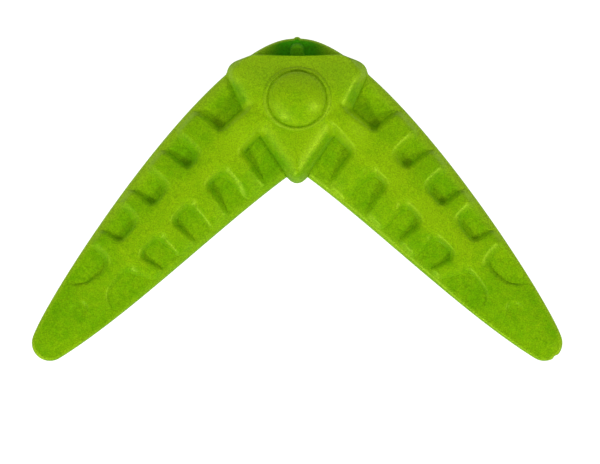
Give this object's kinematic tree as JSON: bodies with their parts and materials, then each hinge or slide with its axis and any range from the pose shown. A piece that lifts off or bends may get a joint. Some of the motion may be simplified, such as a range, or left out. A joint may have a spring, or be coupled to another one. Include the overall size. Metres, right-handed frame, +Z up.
{
  "type": "boomerang",
  "caption": "V-shaped moulded rubber throwing boomerang for dogs, with fish-bone ribs along the arms and a domed shield at the apex.",
  "frame": {"origin": "on the toy's middle line, 0.9 mm behind the middle of the dome, on the plane the toy rests on", "axes": "+X across the span, +Y along the middle line towards the apex of the V, +Z up from the resting face"},
  "size_m": [0.26, 0.158, 0.0234],
  "materials": {
    "plate_rubber": "matt foamed rubber, fine grain",
    "spine_rubber": "matt foamed rubber, fine grain",
    "shield_rubber": "matt foamed rubber, fine grain",
    "dome_rubber": "satin foamed rubber, fine grain",
    "boss_rubber": "matt foamed rubber, fine grain"
  },
  "bodies": {
    "root": {"wing_plate": "plate_rubber", "left_spine": "spine_rubber", "right_spine": "spine_rubber", "hub_shield": "shield_rubber", "hub_dome": "dome_rubber", "apex_boss": "boss_rubber"}
  },
  "joints": []
}
